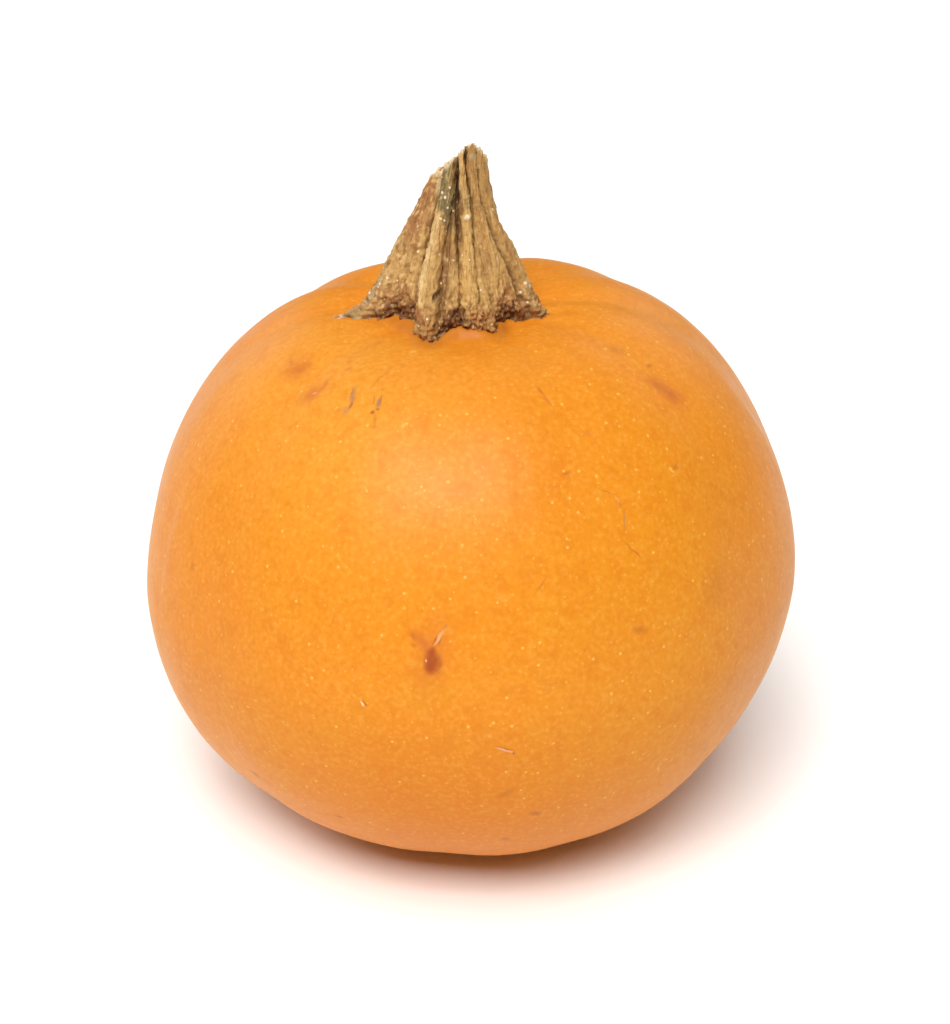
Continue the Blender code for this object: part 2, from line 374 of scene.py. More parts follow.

# Marks of the skin: (azimuth, latitude, length mm, width mm, tilt, colour, strength, softness).
# The tilt is in degrees from straight up, clockwise. Softness 1 fades from the middle outwards.
# Broad tints. High on the left a paler orange is painted sheen, and low on the front a darker,
# redder one is painted shade. The yellower, less red right side is in part painted shade of that
# side. The rest are drifts of the skin's own tone.
SHEEN_SHADE_AND_TONES = (
    (304, 8, 95, 62, 0, YELLOW_ORANGE, 0.6, 1), (232, 50, 70, 80, 0, SHEEN_PAINTED_ORANGE, 0.75, 1),
    (120, 10, 80, 60, 0, YELLOW_ORANGE, 0.6, 1), (214, 30, 60, 40, 0, DEEP_ORANGE, 0.35, 1),
    (20, -20, 70, 50, 0, DEEP_ORANGE, 0.45, 1), (268, -32, 70, 90, 0, SHADE_PAINTED_ORANGE, 0.8, 1),
)
BRUISES = (
    (213.2, 54.2, 7.2, 8, 9, BRUISE, 0.5, 1),
    (214.8, 54.6, 3.2, 2.8, 9, BRUISE, 0.4, 1),
    (208.9, 54.7, 2.8, 1, -65, BRUISE, 0.45, 1),
    (214.3, 56.3, 1.7, 2.3, -7, BRUISE, 0.35, 1),
    (229.2, 58.7, 2, 1.3, 24, BRUISE, 0.5, 1),
    (226.6, 60.3, 1.3, 1, 45, BRUISE, 0.35, 1),
    (224.7, 51.3, 7.4, 5, 29, BRUISE, 0.5, 1),
    (225.6, 51.9, 3.7, 2.7, 22, BRUISE, 0.42, 1),
    (226.6, 54.3, 3.8, 1.5, -12, BRUISE, 0.5, 1),
    (225.7, 52, 1.1, 0.7, 56, PINK_SCUFF_AND_HIGHLIGHT, 0.55, 0.8),
    (236, 50.3, 1.9, 1.6, 65, BRUISE, 0.35, 1),
    (289.5, 56.7, 2.1, 0.7, -15, BRUISE, 0.8, 0.9),
    (290.3, 54.6, 3.7, 0.9, -14, BRUISE, 0.45, 1),
    (325.9, 49.1, 10.9, 5.1, -17, BRUISE, 0.62, 1),
    (324.8, 50.9, 4.2, 2.6, -6, DARK_BROWN, 0.26, 1),
    (326.5, 48.1, 3.3, 2.7, -7, DARK_BROWN, 0.26, 1),
    (329.3, 47.1, 4.6, 2.4, -3, BRUISE, 0.35, 1),
    (328.4, 54.4, 1.5, 1.1, -74, DARK_BROWN, 0.55, 0.9),
    (325.1, 60.1, 4.5, 3.2, -81, DARK_BROWN, 0.26, 1),
    (297.1, 47.1, 2.8, 1.6, -89, DARK_BROWN, 0.2, 1),
    (289.4, 41.2, 2.3, 1.1, 83, DARK_BROWN, 0.46, 1),
    (314.4, 37.5, 2.3, 1.2, 85, DARK_BROWN, 0.46, 1),
    (312.8, 37.5, 0.9, 0.6, -27, FLECK, 0.85, 0.8),
    (314.3, 40.7, 0.8, 0.6, -46, FLECK, 0.85, 0.8),
    (297.8, 15.6, 3.5, 1.8, -82, DARK_BROWN, 0.46, 1),
    (281.6, 25.2, 3.1, 0.7, 36, DARK_BROWN, 0.32, 1),
    (282, 9.2, 3.6, 2.2, 66, DARK_BROWN, 0.16, 1),
    (227.1, -24.1, 3.4, 2.2, 86, SCAR_BROWN, 0.55, 1),
    (244.8, -27.9, 2.2, 1.7, 71, SCAR_BROWN, 0.48, 1),
    (275.4, -15.4, 4.2, 1.8, 54, SCAR_BROWN, 0.32, 1),
    (280.9, -21.7, 2.8, 1.8, 118, SCAR_BROWN, 0.46, 1),
    (276.3, -30.6, 2.6, 2.2, 100, SCAR_BROWN, 0.46, 1),
    (315, 18.2, 11, 8.5, 30, DARK_BROWN, 0.17, 1),
    (214.7, 17.2, 1.8, 1.4, 40, SCAR_BROWN, 0.4, 1),
    (253.8, 49.9, 1.6, 0.9, 20, FLECK, 0.6, 1),
    (244.7, 68, 1.4, 1.1, 0, FLECK, 0.7, 1),
)
# Scuffs, and among them a painted highlight
SCUFFS_AND_HIGHLIGHT = (
    (237.5, 53.5, 5.7, 1.1, -19, SCUFF_GREY, 0.52, 0.9),
    (236.5, 54.5, 2, 0.4, -27, DARK_BROWN, 0.4, 0.9),
    (238.6, 51.7, 1.7, 0.7, -13, SCAR_BROWN, 0.62, 0.9),
    (238, 50.5, 2.5, 1.6, 12, SCUFF_GREY, 0.34, 0.9),
    (238.5, 53.2, 1.7, 0.5, -9, BRUISE, 0.4, 0.9),
    (245.5, 53.3, 3.1, 1.2, -15, SCUFF_GREY, 0.62, 0.9),
    (245.6, 54.3, 2.2, 0.4, -11, SCAR_BROWN, 0.55, 0.9),
    (244.3, 56.3, 3.1, 0.7, -21, BRUISE, 0.35, 1),
    (245, 51.4, 1, 1, 41, SCAR_BROWN, 0.85, 0.9),
    (243.7, 53.5, 1.8, 0.4, -23, SCAR_BROWN, 0.48, 0.9),
    (246, 51.9, 0.9, 0.6, -73, SCAR_BROWN, 0.55, 0.9),
    (246.4, 49.8, 3.8, 0.7, -18, DARK_BROWN, 0.36, 1),
    (241.3, 58.1, 6.1, 0.9, 10, BRUISE, 0.4, 1),
    (242.3, 60.9, 4.1, 0.8, -14, BRUISE, 0.3, 1),
    (296.4, 37.5, 4.8, 0.3, -56, DARK_BROWN, 0.42, 0.9),
    (298.5, 35.7, 2.2, 0.3, -14, PINK_SCUFF_AND_HIGHLIGHT, 0.6, 0.9),
    (298.7, 35.1, 1.8, 0.3, -22, DARK_BROWN, 0.5, 0.9),
    (298.8, 32.6, 3.6, 0.4, 13, SCUFF_GREY, 0.4, 0.9),
    (298.2, 28.6, 2.8, 0.4, -27, DARK_BROWN, 0.4, 0.9),
    (299.5, 27.2, 2.8, 0.4, -37, DARK_BROWN, 0.6, 0.9),
    # A nick: its pale side is a painted highlight, with brown scar beside it
    (252.9, 4.8, 1.2, 0.4, -30, PALE_NICK_AND_HIGHLIGHT, 0.9, 0.7),
    (253.3, 5, 1.5, 0.5, -32, SCAR_BROWN, 0.55, 0.9),
    (275, -5, 3.5, 0.5, -68, PINK_SCUFF_AND_HIGHLIGHT, 0.75, 0.7),
    (275.2, -4.7, 4, 0.3, -67, SCAR_BROWN, 0.65, 0.9),
    (276.4, -5.8, 0.6, 0.6, -58, SCAR_BROWN, 0.75, 0.9),
    # A painted highlight: a pale pink streak down the right shoulder, along the edge of a lobe
    (352.1, 39.9, 9.2, 3.8, -11, PINK_SCUFF_AND_HIGHLIGHT, 0.34, 1),
    (352.4, 33.4, 15.5, 2.5, -8, PINK_SCUFF_AND_HIGHLIGHT, 0.47, 1),
    (353.6, 31.4, 8.6, 1.3, -6, PINK_SCUFF_AND_HIGHLIGHT, 0.47, 1),
    (205, 18, 30, 2.6, -4, PINK_SCUFF_AND_HIGHLIGHT, 0.16, 1),
)
HEALED_SCAR = (
    (263.8, 15.1, 18.6, 7.3, 10, BRUISE, 0.36, 1),
    (262.3, 16.6, 7.4, 2.8, -43, BRUISE, 0.6, 1),
    (263.7, 15.2, 2.3, 1.6, 15, SCAR_BROWN, 0.8, 0.9),
    (263.8, 13.6, 4.1, 3.5, -1, SCAR_BROWN, 0.85, 0.8),
    (263.7, 12.5, 3, 2.4, 78, SCAR_BROWN, 0.75, 0.9),
    (265, 13.3, 1.5, 0.5, 3, DARK_BROWN, 0.45, 0.9),
    (262.9, 13.9, 0.6, 0.4, -1, PALE_NICK_AND_HIGHLIGHT, 0.8, 0.8),
    (264.8, 17.6, 3.8, 0.7, 29, PINK_SCUFF_AND_HIGHLIGHT, 0.6, 0.8),
    (264.1, 17.2, 2.4, 0.4, 24, SCAR_BROWN, 0.6, 0.9),
    (264.9, 17, 2.2, 0.4, 25, SCAR_BROWN, 0.55, 0.9),
    (265.7, 19.4, 1.6, 0.5, 18, SCUFF_GREY, 0.25, 0.9),
    (260.7, 17.5, 1.7, 1, -33, SCAR_BROWN, 0.35, 1),
    (260.7, 16.1, 1.2, 1, -57, SCAR_BROWN, 0.35, 1),
)
MARKS_BEHIND = (
    (38, 8, 6, 2.2, 15, BRUISE, 0.55, 1),
    (61, 41, 3, 1, 165, SCUFF_GREY, 0.55, 1),
    (88, -12, 10, 7.5, 30, DARK_BROWN, 0.22, 1),
    (105, 22, 2.6, 1.6, 70, SCAR_BROWN, 0.7, 0.9),
    (122, 47, 5, 3.4, 10, BRUISE, 0.5, 1),
    (139, 3, 1.8, 0.6, 40, PALE_NICK_AND_HIGHLIGHT, 0.8, 0.7),
    (158, 30, 4.8, 0.6, 120, DARK_BROWN, 0.55, 0.9),
    (171, -18, 2.8, 1.8, 95, SCAR_BROWN, 0.5, 1),
    (14, 25, 2.2, 1.6, 60, DARK_BROWN, 0.45, 1),
)
MARKS = BRUISES + SCUFFS_AND_HIGHLIGHT + HEALED_SCAR + MARKS_BEHIND
MARK_REACH = 1.5  # mm that a small mark's colour reaches above and below the skin
FRAY_SIZE, FRAY_REACH = 1.6 * MM, 0.8 * MM  # of the ragged edges of marks


def mark_frame(azimuth, latitude, tilt):
    """That place of the skin, and the turn to the axes: across the mark, along it, outwards."""
    steps = ((0, 0), (1, 0), (0, 1))
    here, beside, above = (fruit_skin(azimuth + turn, latitude + rise) for turn, rise in steps)
    east, north = Vector(beside - here).normalized(), Vector(above - here).normalized()
    out = east.cross(north).normalized()
    lean = math.radians(tilt)
    along = north * math.cos(lean) + east * math.sin(lean)
    return Vector(here), Matrix((along.cross(out), along, out)).transposed().to_euler()


def add_marks(tree, place, colour, shift, marks):
    """The marks, each an ellipse that fades towards its edge, laid on the skin in turn."""
    for azimuth, latitude, length, width, tilt, tint, strength, softness in marks:
        middle, turn = mark_frame(azimuth, latitude, tilt)
        half_sizes = (width / 2 * MM, length / 2 * MM, max(MARK_REACH, length / 3) * MM)
        inside = spot(tree, place, middle + shift, half_sizes, turn)
        colour = layered(tree, colour, ((inside, 0.0, softness, strength, tint),))
    return colour


DRIFT_SIZE, PATCH_SIZE, DAPPLE_SIZE, MOTTLE_SIZE = 30 * MM, 12 * MM, 2.2 * MM, 0.7 * MM
# Size, spacing and share that is kept
PORES, FLECKS = (0.50 * MM, 0.95 * MM, 0.40), (0.60 * MM, 1.9 * MM, 0.55)
STREAKS_ROUND, STREAKS_RISE = 14, 1.8 / (10 * MM)  # waves round the fruit, and per metre up it
BLOSSOM_SCAR = (5 * MM, 5 * MM, 4 * MM)  # half sizes of the corky spot underneath


def waxy_skin(shift):
    """Pumpkin skin: orange that drifts to yellow and red, with painted sheen and shade, mottled,
    streaked, flecked and marked.
    """
    made = bpy.data.materials.new("pumpkin_skin")
    made.use_nodes = True
    tree = made.node_tree
    place = add_node(tree, "TexCoord", {}).outputs["Object"]
    drift, patch = cloud(tree, place, DRIFT_SIZE), cloud(tree, place, PATCH_SIZE, 3.0)
    ground = ((drift, 0.30, 0.60, 1.0, ORANGE), (patch, 0.50, 0.80, 0.5, YELLOW_ORANGE))
    colour = layered(tree, DEEP_ORANGE, ground)
    # The broad tints go on first, with painted sheen and painted shade among them
    colour = add_marks(tree, place, colour, shift, SHEEN_SHADE_AND_TONES)

    round_axis = vectors(tree, "NORMALIZE", vectors(tree, "MULTIPLY", place, (1, 1, 0)))
    height = vectors(tree, "MULTIPLY", place, (0, 0, STREAKS_RISE))
    count = (STREAKS_ROUND, STREAKS_ROUND, 0)
    wound = vectors(tree, "MULTIPLY_ADD", round_axis, count, height)
    streak = cloud(tree, wound, 1.0, 3.0)
    mottle, dapple = cloud(tree, place, MOTTLE_SIZE, 3.0), cloud(tree, place, DAPPLE_SIZE)
    pores, flecks = specks(tree, place, *PORES), specks(tree, place, *FLECKS)
    texture = (
        (streak, 0.50, 0.72, 0.25, YELLOW_ORANGE),
        (streak, 0.48, 0.30, 0.30, DEEP_ORANGE),
        (mottle, 0.48, 0.72, 0.22, FLECK),
        (mottle, 0.50, 0.28, 0.34, PORE),
        (dapple, 0.50, 0.30, 0.34, PORE),
    )
    colour = layered(tree, colour, texture)
    colour = laid(tree, times(tree, pores, 0.34), colour, FLECK)
    colour = laid(tree, times(tree, flecks, 0.75), colour, FLECK)

    frayed = frayed_place(tree, place, FRAY_SIZE, 3.0, FRAY_REACH)
    # Round the stem's foot the skin is browned: a stain, and painted shade where it meets the stem
    near = add_node(tree, "Attribute", {}, attribute_name="stem_near").outputs["Fac"]
    stain_and_shade_share = times(tree, near, rising(tree, patch, 0.30, 0.62))
    colour = laid(tree, times(tree, stain_and_shade_share, 0.80), colour, STAIN_AND_SHADE)
    colour = add_marks(tree, frayed, colour, shift, MARKS)
    cork = layered(tree, CORK_DARK, ((cloud(tree, place, 0.6 * MM), 0.4, 0.6, 1.0, CORK),))
    blossom = spot(tree, frayed, shift, BLOSSOM_SCAR)
    colour = layered(tree, colour, ((blossom, 0.05, 0.30, 0.95, cork),))

    shine = cloud(tree, place, 5 * MM, 3.0)
    rough = plus(tree, times(tree, shine, 0.16), 0.34)
    grain = plus(tree, times(tree, mottle, 0.6), times(tree, flecks, -0.5))
    bump = add_node(tree, "Bump", {"Strength": 0.22, "Distance": 0.06 * MM, "Height": grain})
    shader = tree.nodes["Principled BSDF"]
    tree.links.new(colour, shader.inputs["Base Color"])
    tree.links.new(rough, shader.inputs["Roughness"])
    tree.links.new(bump.outputs[0], shader.inputs["Normal"])
    shader.inputs["Specular IOR Level"].default_value = 0.16
    shader.inputs["Sheen Weight"].default_value = 0.12
    shader.inputs["Sheen Roughness"].default_value = 0.4
    shader.inputs["Sheen Tint"].default_value = (1.0, 0.6, 0.2, 1)
    return made


azimuth, latitude = skin_grid(SKIN_COLUMNS, SKIN_ROWS)
relief = skin_relief(azimuth, latitude)
skin_points = fruit_skin(azimuth, latitude, relief)
skin_low, skin_high = skin_points.min(axis=(0, 1)), skin_points.max(axis=(0, 1))
fruit_low, fruit_high = (np.array(corner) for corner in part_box("fruit"))
SETTLE = (fruit_high - fruit_low) / (skin_high - skin_low)


def settled(points):
    """Points moved, and by a hair stretched, so that the skin just fits the fruit's place."""
    return (points - skin_low) * SETTLE + fruit_low


collar, stem_near = stem_collar(azimuth, latitude)
fruit = closed_surface("pumpkin_fruit", settled(fruit_skin(azimuth, latitude, relief + collar)))
note = fruit.data.attributes.new("stem_near", "FLOAT", "POINT")
note.data.foreach_set("value", kept_points(stem_near))
fruit.data.materials.append(waxy_skin(Vector(settled(np.zeros(3)))))
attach(fruit, "root")
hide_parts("fruit")


# The stem: a dried, woody stalk with rounded ridges that twist a little and spread into toes on
# the fruit. It was torn off the vine, so its end is slanting and fibrous. The foot is corky and
# dark, and the toes at its two sides end in thin dried points.

STEM_HEIGHT = 25.3 * MM  # from the basin to the crest of the broken end
NECK_RADIUS, FLARE_POWER = 3.5 * MM, 1.4
HEEL_HEIGHT, HEEL_TUCK = 0.12, 0.06  # shares of the height and of the radius
STEM_LEAN = (1.4 * MM, 0.6 * MM)  # of the broken end, from over the foot
STEM_TWIST = -12.0  # degrees, from foot to tip
FOOT_PLEAT, TIP_PLEAT = 0.13, 0.38
BREAK_CREST, BREAK_LEFT, BREAK_RIGHT, BREAK_BACK = 1.4 * MM, 0.85, 0.70, 0.45
PITH_DEPTH = 0.9 * MM
TOE_SPREAD = 30.0  # degrees by which a toe's ridge is wider at the tip
TOE_ARCH = 1.8 * MM  # the foot's lower edge lifts by this between two toes
SPURS = ((183, 3.4 * MM), (348, 0.5 * MM))  # (azimuth, reach past the toe)
SPUR_WIDTH, SPUR_HEIGHT = 10.0, 0.105  # half width in degrees, share of the stem's height
SPUR_HOLLOW = 1.7  # above 1, its sides are hollow
SPUR_TIP = 0.25  # thin dried end of a spur, as a share of its reach
SPUR_BLEACHED = (15.5 * MM, 16.7 * MM)  # from the stem's middle: where it starts and is full
GROWN_IN = 0.15 * MM  # depth of the foot in the skin

# The fine form, at five levels: azimuth of each rib's crest, its half width in degrees, and rise
LEVELS = (0.0, 0.25, 0.5, 0.75, 1.0)
RIBS = (
    ((185, 183, 180, 177, 175), (22, 22, 21, 20, 20), 1),
    ((212, 206, 206, 203, 200), (14, 14, 14, 14, 14), 0.85),
    ((249, 240, 242, 243, 233), (14, 15, 10, 17, 17), 1),
    ((271, 270, 267, 262, 256), (9, 9, 6, 2, 2), 0.55),
    ((288, 288, 287, 283, 268), (11, 10, 10, 12, 11), 1),
    ((306, 305, 302, 299, 296), (9, 8, 5, 2, 2), 0.7),
    ((330, 324, 315, 307, 296), (15, 15, 13, 13, 17), 1),
    ((351, 350, 343, 333, 324), (12, 12, 14, 16, 17), 1),
    ((22, 19, 15, 9, 3), (17, 17, 17, 18, 18), 1),
    ((66, 63, 60, 57, 54), (21, 21, 20, 20, 20), 1),
    ((105, 102, 99, 96, 93), (18, 18, 18, 18, 18), 1),
    ((143, 140, 137, 134, 131), (20, 20, 20, 20, 20), 1),
)
# Deep folds between ribs: azimuths and depths at the same levels, half width in degrees
CREVICES = (
    ((262, 265, 276, 270, 252), (0.1, 0.2, 0.5, 1, 1), 8),
    ((259, 256, 252, 250, 246), (0.55, 0.5, 0.15, 0, 0), 3),
    ((297, 298, 298, 295, 277), (0.1, 0.2, 0.4, 0.8, 0.95), 4),
    ((280, 279, 280, 276, 262), (0.2, 0.2, 0.15, 0, 0), 3),
    ((343, 337, 325, 316, 310), (0.35, 0.6, 0.7, 0.75, 0.5), 4),
    ((229, 225, 232, 226, 214), (0.3, 0.3, 0.3, 0.3, 0.2), 4),
    ((4, 3, 0, 354, 346), (0.3, 0.4, 0.5, 0.6, 0.6), 4),
    ((43, 41, 38, 34, 30), (0.3, 0.5, 0.6, 0.8, 0.8), 5),
    ((86, 83, 80, 77, 74), (0.3, 0.5, 0.7, 0.9, 0.9), 5),
    ((125, 122, 119, 116, 113), (0.3, 0.6, 0.7, 0.8, 0.8), 5),
    ((165, 162, 159, 156, 153), (0.3, 0.4, 0.5, 0.7, 0.7), 4),
)
CREVICE_DEPTH = 0.20  # of the deepest ones, as a share of the stem's radius
RIM_NOTCH = 0.45 * MM  # of the broken end, at a groove
RIM_ROUND = 0.5 * MM  # rounding of the crest of the broken end
RIM_FIBRES = 0.16 * MM  # by which its fibre ends stand up
SQUEEZES = ((192, 0.09), (338, 0.06))  # near the tip: azimuth, share by which it is drawn in
SQUEEZE_WIDTH, SQUEEZE_START, SQUEEZE_FULL = 40, 0.45, 0.85
# Where the right side swells: azimuth, half width in degrees, level, half height, share
BELLY = (345, 28, 0.40, 0.15, 0.060)
KNOB = (285, 0.645)  # azimuth and level of a crusty knob on the front rib
KNOB_HEIGHT, KNOB_RINGS = 0.45 * MM, 0.06 * MM
PIT = (253, 0.25)  # azimuth and level of a small deep hole beside the front toe
PIT_DEPTH = 0.6 * MM

STEM_COLUMNS = 480
UNDER_ROWS, WALL_ROWS, BREAK_ROWS = 8, 156, 18
ROW_CROWDING = 1.25  # above 1, the rows of the wall lie closer at the foot
FOLD_HEIGHT, FIBRE_HEIGHT = 0.08 * MM, 0.07 * MM
CORK_HEIGHT, GRAIN_HEIGHT = 0.36 * MM, 0.05 * MM
SCALE_HEIGHT, CREASE_DEPTH = 0.16 * MM, 0.14 * MM


def followed(line, level):
    """Azimuth of a line at that level, from its azimuths at the five levels."""
    return np.interp(level, LEVELS, np.degrees(np.unwrap(np.radians(line))))


def rib_crest(azimuth, level):
    """1 on the crest of each full rib, falling as a half circle to 0 between the ribs."""
    crest = np.zeros(np.broadcast(azimuth, level).shape)
    for line, widths, rise in RIBS:
        width = np.interp(level, LEVELS, widths)
        across = turn_between(azimuth, followed(line, level)) / width
        crest = np.maximum(crest, rise * np.sqrt(np.maximum(1 - across * across, 0)))
    return crest


def along_line(azimuth, level, line, shares, width):
    """The line's share at that level, falling as a bell curve to its sides."""
    across = turn_between(azimuth, followed(line, level))
    return np.interp(level, LEVELS, shares) * bell(across, width)


def crevice(azimuth, level):
    """How far a place lies in one of the deep folds, from 0 to 1."""
    return np.max([along_line(azimuth, level, *fold) for fold in CREVICES], axis=0)


def stem_radius(azimuth, level):
    """Radius of the stem's wall at a level, from 0 at its foot to 1 at its highest point.

    It flares from the neck to the foot by a power of the height. The ribs are arches on it, with
    grooves that get deeper towards the tip, and the heel tucks in under the toes. A spur is a
    thorn on its toe, hollow on both sides, that gets thinner towards its end.
    """
    lean = STEM_TWIST * level
    foot = FOOT_RADIUS + toe_reach(azimuth, lean, TOE_SPREAD * level)
    core = NECK_RADIUS + (foot - NECK_RADIUS) * np.maximum(1 - level, 0) ** FLARE_POWER
    pleat = FOOT_PLEAT + (TIP_PLEAT - FOOT_PLEAT) * level
    heel = np.maximum(1 - level / HEEL_HEIGHT, 0)
    fold = pleat * (1 - rib_crest(azimuth, level))
    fold = fold + CREVICE_DEPTH * crevice(azimuth, level) ** 2
    for at, share in SQUEEZES:
        aside = bell(turn_between(azimuth, at), SQUEEZE_WIDTH)
        fold = fold + share * aside * eased(level, SQUEEZE_START, SQUEEZE_FULL)
    at, width, middle, height, share = BELLY
    fold = fold - share * bell(turn_between(azimuth, at), width) * bell(level - middle, height)
    wall = core * (1 - fold) * (1 - HEEL_TUCK * heel**2)
    for at, reach in SPURS:
        spur = np.maximum(1 - np.abs(turn_between(azimuth, at)) / SPUR_WIDTH, 0) ** SPUR_HOLLOW
        spur = spur * np.maximum(1 - level / SPUR_HEIGHT, 0)
        wall = wall + reach * (spur + SPUR_TIP * spur**4)
    return wall


def broken_height(azimuth, inset=1.0):
    """Height of the slanting broken end above the basin: at its rim, or inset from it."""
    east = inset * NECK_RADIUS * np.cos(np.radians(azimuth)) - BREAK_CREST
    north = inset * NECK_RADIUS * np.sin(np.radians(azimuth))
    slope = np.where(east < 0, BREAK_LEFT, BREAK_RIGHT)
    aside = np.hypot(east, RIM_ROUND) - RIM_ROUND
    return STEM_HEIGHT - slope * aside - BREAK_BACK * north


def torn_end(azimuth, inset):
    """Height of the broken end: notched at the grooves, sunk at the pith, rough with fibre ends."""
    notch = RIM_NOTCH * (1 - rib_crest(azimuth, 1.0)) * inset**3
    pith = PITH_DEPTH * (1 - inset**2)
    ends = fibres(azimuth, 2 * inset, (9, 40), 5, 26) * inset
    return broken_height(azimuth, inset) - notch - pith + RIM_FIBRES * ends


def scaly(azimuth, level):
    """How much the bark has curled up in small scales: most on the left flank and at the foot."""
    flank = bell(turn_between(azimuth, 200 - 6 * level), 26) * (1 - eased(level, 0.75, 0.95))
    foot = 0.8 * (1 - eased(level, 0.10, 0.32))
    return np.clip(0.22 + flank + foot, 0, 1)


def bark_scales(azimuth, level, rough):
    """Small long scales of curled bark, 0 between them and about 1 in their middles."""
    lain = rough * (1, 1, 0.42)
    scales = eased(lumps(lain, 0.36 * MM, 31) + 0.4 * lumps(lain, 0.9 * MM, 32), 0.35, 1.1)
    return scales * scaly(azimuth, level)


def wall_relief(azimuth, level, rough):
    """Height of the wall's fine form along its normal.

    It adds up folds and threads that run lengthwise, cork lumps at the foot, bark scales, creases
    where a field of lumps changes sign, a grain all over, a knob with rings, and a small pit.
    """
    lengthwise = azimuth - STEM_TWIST * level
    folds = fibres(lengthwise, 3 * level, (12, 30), 3, 21)
    threads = fibres(lengthwise, 5 * level, (50, 130), 2, 22)
    cork = 0.8 * lumps(rough, 0.8 * MM, 23) + 0.6 * lumps(rough, 0.38 * MM, 24)
    corky = 0.12 + 0.88 * (1 - eased(level, 0.04, 0.22))
    creases = 1 - eased(np.abs(lumps(rough * (1, 1, 0.5), 0.8 * MM, 27)), 0.0, 0.22)
    grain = lumps(rough * (1, 1, 0.4), 0.4 * MM, 25)
    across = bell(turn_between(azimuth, KNOB[0]), 7)
    knob = across * bell(level - KNOB[1], 0.022)
    rings = np.cos(2 * np.pi * level / 0.026) * across
    rings = rings * eased(level, 0.65, 0.68) * (1 - eased(level, 0.76, 0.80))
    pit = bell(turn_between(azimuth, PIT[0]), 2.0) * bell(level - PIT[1], 0.02)
    strength = 1 - 0.4 * level
    return (
        FOLD_HEIGHT * strength * folds
        + FIBRE_HEIGHT * strength * threads
        + CORK_HEIGHT * corky * cork
        + SCALE_HEIGHT * bark_scales(azimuth, level, rough)
        - CREASE_DEPTH * creases * (0.25 + 0.75 * scaly(azimuth, level))
        + GRAIN_HEIGHT * grain
        + KNOB_HEIGHT * knob
        + KNOB_RINGS * rings
        - PIT_DEPTH * pit
    )


def outwards(points):
    """Unit normals of a grid of points, its rows from bottom to top, its columns anticlockwise."""
    across = np.roll(points, -1, axis=1) - np.roll(points, 1, axis=1)
    normals = np.cross(across, np.gradient(points, axis=0))
    return normals / np.maximum(np.linalg.norm(normals, axis=-1), 1e-12)[..., None]


def stem_grid():
    """Points of the stem, with their azimuths, levels, insets, depths below the rim, and places
    before the relief, measured from the middle of the basin.

    Rows run from the middle of the underside out to its edge, up the wall to the broken rim, and
    in over the broken end to the pith. An inset of 1 is on the wall.
    """
    azimuth = np.arange(STEM_COLUMNS) * 360 / STEM_COLUMNS
    out = np.linspace(0, 1, UNDER_ROWS + 1)[:-1]
    up = np.linspace(0, 1, WALL_ROWS + 1) ** ROW_CROWDING
    back = np.linspace(1, 0, BREAK_ROWS + 1)[1:]
    inset = np.concatenate([out, np.ones(len(up)), back])[:, None]
    share = np.concatenate([np.zeros(len(out)), up, np.ones(len(back))])[:, None]
    azimuth, inset, share = np.broadcast_arrays(azimuth, inset, share)
    level = share * broken_height(azimuth) / STEM_HEIGHT
    turn = np.radians(azimuth)
    radius = inset * stem_radius(azimuth, level)
    x = STEM_SPOT[0] + STEM_LEAN[0] * level**2 + radius * np.cos(turn)
    y = STEM_SPOT[1] + STEM_LEAN[1] * level**2 + radius * np.sin(turn)
    lift = TOE_ARCH * np.maximum(1 - toe_reach(azimuth) / TOE_FULL, 0) * inset**2
    foot = crown_height(x, y) - GROWN_IN + lift
    foot = np.where(share > 0, foot[UNDER_ROWS], foot)
    rim = crown_height(*STEM_SPOT) + torn_end(azimuth, inset)
    smooth = np.stack([x, y, foot + share * (rim - foot)], axis=-1)
    rough = smooth - (*STEM_SPOT, crown_height(*STEM_SPOT))
    relief = wall_relief(azimuth, level, rough) * (inset == 1)
    points = smooth + outwards(smooth) * relief[..., None]
    return points, azimuth, level, inset, (1 - share) * (rim - foot), rough


RIB_TAN = (0.560, 0.340, 0.112)
RIB_PALE = (0.680, 0.450, 0.180)
RIM_CREAM = (0.720, 0.500, 0.235)
RIB_YELLOW = (0.610, 0.365, 0.112)
RIB_BROWN = (0.390, 0.200, 0.056)
FOLD_BROWN = (0.235, 0.112, 0.034)
# A nearly black brown: painted shade in the deep folds and in the small hole, with the folds'
# darker bark
SHADE_AND_BARK_DARK = (0.085, 0.040, 0.013)
FLUSH_BROWN = (0.345, 0.140, 0.045)
TOE_BROWN = (0.385, 0.185, 0.055)
RUSSET = (0.300, 0.118, 0.034)
HEEL_BROWN = (0.125, 0.043, 0.015)
CRUST_PINK = (0.560, 0.310, 0.135)
MOULD_OLIVE = (0.170, 0.124, 0.048)
ASH_GREY = (0.480, 0.375, 0.210)
TORN_PALE = (0.780, 0.610, 0.370)
SPUR_GREY = (0.330, 0.220, 0.105)
SPUR_PALE = (0.800, 0.580, 0.400)
SPECK_WHITE = (0.800, 0.680, 0.480)

